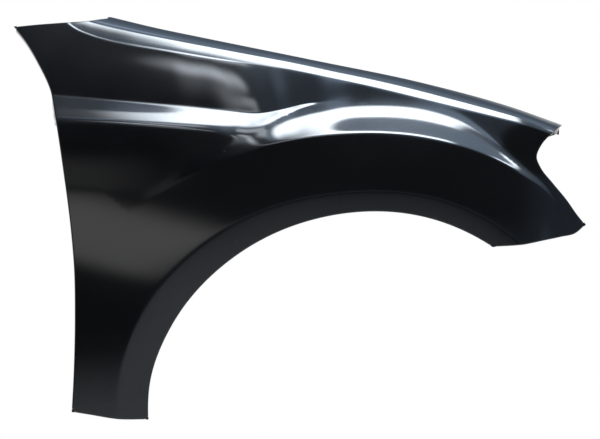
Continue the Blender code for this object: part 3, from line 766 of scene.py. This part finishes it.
def primer(name, colour, ior, hazeValues, peelValues, dustValues):  # with haze, peel and dust
    material, nodes, links = newMaterial(name)
    shader = nodes["Principled BSDF"]
    shader.inputs["IOR"].default_value = ior
    gloss = placed(nodes, haze, Scale=hazeValues[0], Least=hazeValues[1], Most=hazeValues[2])
    bumps = placed(nodes, peel, Scale=peelValues[0], Strength=peelValues[1])
    specks = placed(nodes, dust, Scale=dustValues[0], Share=dustValues[1])
    tint = nodes.new("ShaderNodeMix")
    tint.data_type = "RGBA"
    tint.inputs["A"].default_value = colour
    tint.inputs["B"].default_value = finish["dustColour"]
    links.new(specks.outputs["Mask"], tint.inputs["Factor"])
    links.new(tint.outputs["Result"], shader.inputs["Base Color"])
    links.new(gloss.outputs["Roughness"], shader.inputs["Roughness"])
    links.new(bumps.outputs["Normal"], shader.inputs["Normal"])
    return material, shader


def facePrimer():  # the outer side, with the gloss of a wet coat
    material, shader = primer("facePrimer", finish["colour"], finish["ior"], finish["faceHaze"],
                              finish["peel"], finish["dust"])
    shader.inputs["Coat Weight"].default_value = finish["coat"]
    shader.inputs["Coat Roughness"].default_value = finish["coatRoughness"]
    shader.inputs["Coat IOR"].default_value = finish["coatIor"]
    return material


def backPrimer():  # the hidden side, drier and dustier
    return primer("backPrimer", finish["colour"], finish["backIor"], finish["backHaze"],
                  finish["backPeel"], finish["backDust"])[0]


def rimPrimer():  # the cut edges of the sheet, where the coat is thin
    return primer("rimPrimer", finish["rimColour"], finish["backIor"], finish["rimHaze"],
                  finish["backPeel"], finish["backDust"])[0]


skin = addPanel()
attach(skin, "root")
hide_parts("fender_panel")


def fromAxis(x, y, z):  # from the wheel axis to the row's frame
    return Vector((x + wheelAxis[0], y + wheelAxis[1], z + wheelAxis[2]))


lens = {
    "aim": (-0.126, 0.06, 0.3859),  # middle of the picture, from the wheel axis
    "distance": 16.0,
    "frameWidth": 1.05,  # what the picture spans at that middle
    "sensor": 36.0,
    "clipEnd": 100.0,
}


def addCamera():
    data = bpy.data.cameras.new("longLens")
    data.sensor_width = lens["sensor"]
    data.lens = lens["sensor"] * lens["distance"] / lens["frameWidth"]
    data.clip_end = lens["clipEnd"]
    camera = bpy.data.objects.new("longLens", data)
    x, y, z = lens["aim"]
    camera.location = fromAxis(x, y - lens["distance"], z)
    camera.rotation_euler = (math.pi / 2, 0.0, 0.0)
    scene.collection.objects.link(camera)
    scene.camera = camera


def addWorld():  # white to the camera and in reflections, with no diffuse light
    world = bpy.data.worlds.new("studioWorld")
    scene.world = world
    world.use_nodes = True
    nodes, links = world.node_tree.nodes, world.node_tree.links
    path = nodes.new("ShaderNodeLightPath")
    seen = path.outputs["Is Camera Ray"]
    for other in ("Is Glossy Ray", "Is Transmission Ray"):
        seen = mathNode(nodes, links, "MAXIMUM", seen, path.outputs[other])
    backdrop = nodes["Background"]
    backdrop.inputs["Color"].default_value = (1.0, 1.0, 1.0, 1.0)
    links.new(seen, backdrop.inputs["Strength"])


def rampGroup():  # 0 to 1 between two values, with soft ends
    group, given, made = newGroup("softRamp", {"Value": 0.0, "From": 0.0, "To": 1.0},
                                  {"Mask": "NodeSocketFloat"})
    spread = group.nodes.new("ShaderNodeMapRange")
    spread.interpolation_type = "SMOOTHSTEP"
    group.links.new(given.outputs["Value"], spread.inputs["Value"])
    group.links.new(given.outputs["From"], spread.inputs["From Min"])
    group.links.new(given.outputs["To"], spread.inputs["From Max"])
    group.links.new(spread.outputs["Result"], made.inputs["Mask"])
    return group


softRamp = rampGroup()


def ramped(nodes, links, source, start, end):
    node = placed(nodes, softRamp, From=start, To=end)
    links.new(source, node.inputs["Value"])
    return node.outputs["Mask"]


cool = (0.74, 0.97, 1.30)
pale = (0.91, 1.0, 1.09)
plain = (1.0, 1.0, 1.0)

walls = {
    "middle": (-0.126, 0.0, 0.3859),
    "radius": 6.0,
    "segments": 64,
    "rings": 32,
    "rearFade": (-0.24, 0.06),  # on the camera's side the light comes up over this stretch of x
    "backFade": (0.5, 2.5),  # and behind the part over this stretch of y
    "least": 0.06,  # share of the light that is left before both
    # shade by elevation in degrees, 0 towards the camera and 90 up: level, then tint
    "shades": ((-180, 0.85, plain), (-140, 0.60, plain), (-95, 0.05, plain), (-20, 0.10, plain),
               (-7, 0.08, cool), (-2, 0.02, plain), (12, 0.02, plain), (24, 0.02, plain),
               (33, 0.12, cool), (44, 0.34, cool), (54, 0.45, cool), (70, 0.55, cool),
               (84, 1.05, cool), (100, 1.00, cool), (112, 0.70, cool), (126, 0.35, cool),
               (142, 0.22, cool), (156, 0.40, pale), (168, 0.90, plain), (179, 0.90, plain)),
}


def shadeRamp(nodes):
    ramp = nodes.new("ShaderNodeValToRGB")
    stops = ramp.color_ramp.elements
    while len(stops) > 1:
        stops.remove(stops[-1])
    for number, (angle, level, tint) in enumerate(walls["shades"]):
        share = (angle + 180) / 360
        stop = stops[0] if number == 0 else stops.new(share)
        stop.position = share
        stop.color = (level * tint[0], level * tint[1], level * tint[2], 1.0)
    ramp.color_ramp.interpolation = "EASE"
    return ramp


def wallShade():
    material, nodes, links = newMaterial("studioShade")
    nodes.clear()
    made = nodes.new("ShaderNodeOutputMaterial")
    glow = nodes.new("ShaderNodeEmission")
    where = nodes.new("ShaderNodeTexCoord")
    split = nodes.new("ShaderNodeSeparateXYZ")
    links.new(where.outputs["Object"], split.inputs[0])
    forward = mathNode(nodes, links, "MULTIPLY", split.outputs["Y"], -1.0)
    elevation = mathNode(nodes, links, "ARCTAN2", split.outputs["Z"], forward)
    ramp = shadeRamp(nodes)
    links.new(mathNode(nodes, links, "MULTIPLY_ADD", elevation, 0.5 / math.pi, 0.5), ramp.inputs["Fac"])
    links.new(ramp.outputs["Color"], glow.inputs["Color"])
    side = ramped(nodes, links, split.outputs["X"], *walls["rearFade"])
    behind = ramped(nodes, links, split.outputs["Y"], *walls["backFade"])
    share = mathNode(nodes, links, "MAXIMUM", side, behind)
    level = mathNode(nodes, links, "MULTIPLY_ADD", share, 1 - walls["least"], walls["least"])
    links.new(level, glow.inputs["Strength"])
    links.new(glow.outputs[0], made.inputs["Surface"])
    material.cycles.emission_sampling = "NONE"
    return material


def addWalls():  # dark walls and a pale ceiling round the part, which the camera looks through
    bpy.ops.mesh.primitive_uv_sphere_add(segments=walls["segments"], ring_count=walls["rings"],
                                         radius=walls["radius"])
    dome = bpy.context.object
    dome.name = "studioDome"
    dome.location = fromAxis(*walls["middle"])
    dome.data.materials.append(wallShade())
    dome.data.polygons.foreach_set("use_smooth", [True] * len(dome.data.polygons))
    dome.visible_camera = False
    dome.visible_shadow = False


# soft cards: middle, the point each one faces, its turn in degrees, its size, how wide its soft
# edges are (left, right, low, high), level and colour
cards = {
    "topStrip": ((0.335, -0.80, 2.55), (0.335, 0.0, 0.5), 0, (1.61, 1.34),
                 (0.31, 0.30, 0.30, 0.14), 12.5, pale),
    "rollCard": ((-0.32, 0.32, 2.60), (-0.32, 0.0, 0.6), 0, (0.52, 0.50),
                 (0.16, 0.16, 0.10, 0.20), 2.0, cool),
    "highCard": ((-0.25, -2.1, 3.17), (-0.25, 0.0, 0.6), 0, (0.78, 0.90),
                 (0.32, 0.22, 0.36, 0.30), 1.1, cool),
    "leftWall": ((-3.6, -1.8, 0.9), (-0.1, 0.0, 0.4), 0, (4.2, 3.4),
                 (1.2, 1.2, 0.9, 0.9), 0.50, plain),
    "rightWall": ((4.3, 0.7, 0.9), (0.0, 0.0, 0.4), 0, (3.0, 3.0),
                  (0.9, 0.9, 0.8, 0.8), 0.60, plain),
    "noseGlow": ((3.60, -2.1, 0.00), (0.31, 0.0, 0.36), 0, (1.60, 0.60),
                 (0.45, 0.45, 0.20, 0.24), 2.4, cool),
    "rearCard": ((-0.51, -2.5, 0.20), (-0.51, 0.0, 0.20), -40, (0.70, 0.44),
                 (0.20, 0.20, 0.10, 0.14), 0.62, plain),
    "rearHaze": ((-0.66, -2.5, 0.75), (-0.66, 0.0, 0.75), 0, (0.72, 0.70),
                 (0.10, 0.24, 0.20, 0.34), 0.14, plain),
    "creaseGlow": ((-0.17, -2.1, 2.63), (-0.17, 0.0, 0.60), 0, (0.46, 0.56),
                   (0.15, 0.16, 0.22, 0.20), 3.2, pale),
    "slantCard": ((-0.315, -2.1, 2.10), (-0.315, 0.0, 0.60), 45, (0.24, 0.56),
                  (0.12, 0.12, 0.27, 0.27), 6.0, pale),
    "slantVeil": ((-0.30, -2.1, 1.86), (-0.30, 0.0, 0.60), 12, (0.30, 0.60),
                  (0.15, 0.15, 0.25, 0.25), 1.1, pale),
    "rightPanel": ((0.78, -2.1, 2.70), (0.40, 0.0, 0.55), 0, (1.65, 1.80),
                   (0.70, 0.50, 0.55, 0.50), 1.4, cool),
    "foreGlow": ((0.45, -2.1, 1.60), (0.30, 0.0, 0.55), 0, (1.10, 0.80),
                 (0.40, 0.35, 0.30, 0.30), 0.22, cool),
    "foreWall": ((3.0, -1.6, 0.45), (0.35, 0.0, 0.40), 0, (2.4, 2.0),
                 (0.80, 0.80, 0.70, 0.70), 0.10, cool),
    "lowStrip": ((-0.14, -2.1, 1.77), (-0.14, 0.0, 0.60), 0, (0.30, 0.15),
                 (0.09, 0.09, 0.05, 0.05), 2.2, pale),
    "frontSpot": ((2.30, -0.50, 2.55), (0.26, 0.0, 0.5), 0, (0.50, 0.90),
                  (0.14, 0.16, 0.30, 0.30), 11.0, pale),
}


def cardGlow(name, size, soft, level, colour):
    material, nodes, links = newMaterial(name)
    nodes.clear()
    made = nodes.new("ShaderNodeOutputMaterial")
    glow = nodes.new("ShaderNodeEmission")
    where = nodes.new("ShaderNodeTexCoord")
    split = nodes.new("ShaderNodeSeparateXYZ")
    links.new(where.outputs["Object"], split.inputs[0])
    across, up = split.outputs["X"], split.outputs["Y"]
    wide, tall = size[0] / 2, size[1] / 2
    left, right, low, high = soft
    mask = ramped(nodes, links, up, tall, tall - high)
    edges = ((up, -tall, low - tall), (across, wide, wide - right), (across, -wide, left - wide))
    for source, start, end in edges:
        mask = mathNode(nodes, links, "MULTIPLY", mask, ramped(nodes, links, source, start, end))
    glow.inputs["Color"].default_value = (*colour, 1.0)
    glow.inputs["Strength"].default_value = level
    clear = nodes.new("ShaderNodeBsdfTransparent")
    blend = nodes.new("ShaderNodeMixShader")
    links.new(mask, blend.inputs["Fac"])
    links.new(clear.outputs[0], blend.inputs[1])
    links.new(glow.outputs[0], blend.inputs[2])
    links.new(blend.outputs[0], made.inputs["Surface"])
    return material


def addCard(name, middle, target, turn, size, soft, level, colour):
    wide, tall = size[0] / 2, size[1] / 2
    mesh = bpy.data.meshes.new(name)
    corners = [(-wide, -tall, 0), (wide, -tall, 0), (wide, tall, 0), (-wide, tall, 0)]
    mesh.from_pydata(corners, [], [(3, 2, 1, 0)])
    mesh.materials.append(cardGlow(name + "Glow", size, soft, level, colour))
    card = bpy.data.objects.new(name, mesh)
    card.location = fromAxis(*middle)
    aim = (fromAxis(*target) - card.location).to_track_quat("-Z", "Y")
    card.rotation_mode = "QUATERNION"
    card.rotation_quaternion = aim @ Quaternion((0.0, 0.0, 1.0), math.radians(turn))
    scene.collection.objects.link(card)
    card.visible_camera = False
    card.visible_shadow = False


ground = {
    "drop": 0.85,  # below the wheel axis
    "radius": 4.2,
    "sides": 96,
    "roughness": 0.8,
    "colour": (0.56, 0.52, 0.48, 1.0),
    # painted shade: in what the part reflects, the floor turns near black towards its rim
    "paintedFarShade": (0.02, 0.02, 0.02, 1.0),
    "fade": (2.2, 3.9),  # from its colour to the far colour, a painted shade that darkens the floor towards its rim, in what the part reflects
    "seenColour": (0.86, 0.86, 0.86, 1.0),
    "seenFade": (-3.0, 3.6),  # from pale to the white of the backdrop, in what the camera sees
}


def groundShade():
    material, nodes, links = newMaterial("paleFloor")
    shader = nodes["Principled BSDF"]
    shader.inputs["Roughness"].default_value = ground["roughness"]
    where = nodes.new("ShaderNodeTexCoord")
    reach = nodes.new("ShaderNodeVectorMath")
    reach.operation = "LENGTH"
    links.new(where.outputs["Object"], reach.inputs[0])
    # painted shade: the floor darkens to near black towards its rim, in what the part reflects
    tint = nodes.new("ShaderNodeMix")
    tint.data_type = "RGBA"
    tint.inputs["A"].default_value = ground["colour"]
    tint.inputs["B"].default_value = ground["paintedFarShade"]
    links.new(ramped(nodes, links, reach.outputs["Value"], *ground["fade"]), tint.inputs["Factor"])
    links.new(tint.outputs["Result"], shader.inputs["Base Color"])
    seen = nodes.new("ShaderNodeBsdfDiffuse")
    seen.inputs["Color"].default_value = ground["seenColour"]
    white = nodes.new("ShaderNodeEmission")
    paling = nodes.new("ShaderNodeMixShader")
    links.new(ramped(nodes, links, reach.outputs["Value"], *ground["seenFade"]), paling.inputs["Fac"])
    links.new(seen.outputs[0], paling.inputs[1])
    links.new(white.outputs[0], paling.inputs[2])
    path = nodes.new("ShaderNodeLightPath")
    view = nodes.new("ShaderNodeMixShader")
    links.new(path.outputs["Is Camera Ray"], view.inputs["Fac"])
    links.new(shader.outputs[0], view.inputs[1])
    links.new(paling.outputs[0], view.inputs[2])
    links.new(view.outputs[0], nodes["Material Output"].inputs["Surface"])
    return material


def addFloor():
    bpy.ops.mesh.primitive_circle_add(vertices=ground["sides"], radius=ground["radius"],
                                      fill_type="NGON")
    floor = bpy.context.object
    floor.name = "studioFloor"
    floor.location = fromAxis(0.0, 0.0, -ground["drop"])
    floor.data.materials.append(groundShade())


addCamera()
addWorld()
addWalls()
addFloor()
for name, settings in cards.items():
    addCard(name, *settings)
scene.view_settings.view_transform = "Standard"
print("studio ready:", len(cards), "soft cards")
